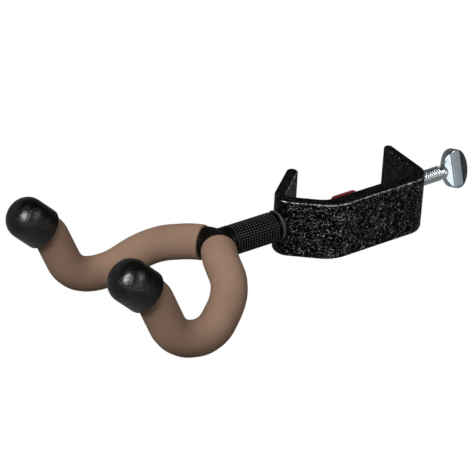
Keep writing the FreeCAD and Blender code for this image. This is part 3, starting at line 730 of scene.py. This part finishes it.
def makeCap(name, side, stands):
    sizes = yokeCap
    outer, bore = sizes["radius"], sizes["bore"]
    tall = sizes["straight"] + sizes["round"]
    cap = drawLine(name, [(0, 0, sizes["depth"]), (bore, 0, sizes["depth"]), (bore, 0, 0),
                          (outer, 0, 0), (outer, 0, tall), (0, 0, tall)])
    # the dome, the rim and the bore's edge are rounded on the profile, before it is spun
    for reach, height, radius, parts in ((outer, tall, sizes["round"], 14), (outer, 0, sizes["lipRound"], 4),
                                         (bore, 0, sizes["boreRound"], 3)):
        choose(cap, lambda v: abs(v.co.x - reach) < near and abs(v.co.z - height) < near, "verts")
        bpy.ops.mesh.bevel(offset=radius, segments=parts, affect="VERTICES")
    spinProfile((0, 0, 1), sizes["around"])
    endEdit()
    turn = (Matrix.Rotation(math.radians(yokeRoute["turn"]), 4, "X") @
            Matrix.Rotation(-math.radians(yokeRoute["lean"]), 4, "Y"))
    movePiece(cap, Matrix.Translation(prongTip(yokeRoute, side, yokeRoute["flareRun"])) @ turn)
    finishPiece(cap, "yoke", capRubber, stands, smooth=40)


for side, label in ((1, "left"), (-1, "right")):
    makeTube(label + "Tube", side, [label + "_padding"])
    makeCap(label + "EndCap", side, [label + "_cap"])
    print(label, "prong is made")


studio = {
    "floorDrop": 0.9, "floorSize": 14.0,
    "floorGrey": 0.24,      # what the floor gives back to the object
    "floorWhite": 1.08, "floorShare": 0.92,  # what the camera sees, and the rest keeps the shadow
    "ambient": 0.155,
    "mirrored": 0.68,       # how bright metal and gloss see the backdrop
    "floorMirrored": 0.12,  # and the floor
    "darkSide": 0.15,       # what is left of that on the +X side
    "elsewhere": 0.30,      # and away from the -Y side
    "ceiling": 0.10, "horizon": 1.0,
    # where those changes start and end: along X on the floor, and by direction for the backdrop
    "floorFall": (-0.5, 3.5), "rise": (0.05, 0.75), "fall": (0.3, 0.95), "front": (-0.84, -0.45),
    "aim": (-0.03, 0, 0),
    "lamps": [
        # name, place, size, power, seen in reflections
        ("keyLamp", (-1.05, -0.30, 1.05), 0.62, 19.0, True),
        ("frontLamp", (0.66, -0.98, 0.90), 0.46, 3.8, True),
        ("sideLamp", (0.14, -1.50, 0.10), 0.62, 1.05, True),
        ("backLamp", (0.50, 0.95, 0.95), 0.50, 4.0, False),
    ],
}


def addSight(owner):
    # the kinds of ray, and 1 where the camera or glass looks
    path = addNode(owner, "ShaderNodeLightPath")
    return path, addMath(owner, "MAXIMUM", (path, "Is Camera Ray"), (path, "Is Transmission Ray"))


def makeFloor(settings):
    deselectAll()
    bpy.ops.mesh.primitive_plane_add(size=settings["floorSize"], location=(0, 0, -settings["floorDrop"]))
    floor = bpy.context.object
    floor.name = "studioFloor"
    material, shader = newFinish("paleFloor", (settings["floorGrey"],) * 3, 0.9, specular=0.1)
    path, seen = addSight(material)
    glossy = addMath(material, "MULTIPLY", (path, "Is Glossy Ray"), settings["floorMirrored"])
    place = splitVector(material, addNode(material, "ShaderNodeTexCoord"), "Object")
    fall = addRange(material, place, "X", *settings["floorFall"], 1.0, settings["darkSide"])
    dimmed = addMath(material, "MULTIPLY", (glossy, "Value"), (fall, "Result"))
    clear = addMath(material, "MAXIMUM", (seen, "Value"), (dimmed, "Value"))
    share = addMath(material, "MULTIPLY", (clear, "Value"), settings["floorShare"])
    white = addNode(material, "ShaderNodeEmission",
                    {"Color": (1, 1, 1, 1), "Strength": settings["floorWhite"]})
    mix = addNode(material, "ShaderNodeMixShader")
    link(material, share, "Value", mix, "Fac")
    link(material, shader, "BSDF", mix, 1)
    link(material, white, "Emission", mix, 2)
    link(material, mix, "Shader", material.node_tree.nodes["Material Output"], "Surface")
    floor.data.materials.append(material)


def makeWorld(settings):
    world = bpy.data.worlds.new("softStudio")
    bpy.context.scene.world = world
    world.use_nodes = True
    background = world.node_tree.nodes["Background"]
    background.inputs["Color"].default_value = (1, 1, 1, 1)
    path, seen = addSight(world)
    facing = splitVector(world, addNode(world, "ShaderNodeTexCoord"), "Generated")
    height = addRange(world, facing, "Z", *settings["rise"], settings["horizon"], settings["ceiling"],
                      interpolation_type="SMOOTHSTEP")
    fall = addRange(world, facing, "X", *settings["fall"], 1.0, settings["darkSide"])
    front = addRange(world, facing, "Y", *settings["front"], 1.0, settings["elsewhere"])
    spread = addMath(world, "MULTIPLY", (fall, "Result"), (front, "Result"))
    shade = addMath(world, "MULTIPLY", (height, "Result"), (spread, "Value"))
    dimmed = addMath(world, "MULTIPLY", (shade, "Value"), settings["mirrored"])
    # diffuse light first, then what gloss sees, then what the camera and glass see
    gloss = addNode(world, "ShaderNodeMix", {"A": settings["ambient"]}, data_type="FLOAT")
    link(world, path, "Is Glossy Ray", gloss, 0)
    link(world, dimmed, "Value", gloss, 3)
    mix = addNode(world, "ShaderNodeMix", {"B": 1.0}, data_type="FLOAT")
    link(world, seen, "Value", mix, 0)
    link(world, gloss, 0, mix, 2)
    link(world, mix, 0, background, "Strength")


def makeLamps(settings):
    for name, place, size, power, mirrored in settings["lamps"]:
        aim = (Vector(settings["aim"]) - Vector(place)).to_track_quat("-Z", "Y")
        bpy.ops.object.light_add(type="AREA", location=place, rotation=aim.to_euler())
        lamp = bpy.context.object
        lamp.name = name
        lamp.data.shape = "SQUARE"
        lamp.data.size = size
        lamp.data.energy = power
        lamp.visible_glossy = mirrored


makeFloor(studio)
makeWorld(studio)
makeLamps(studio)
print("studio is lit")
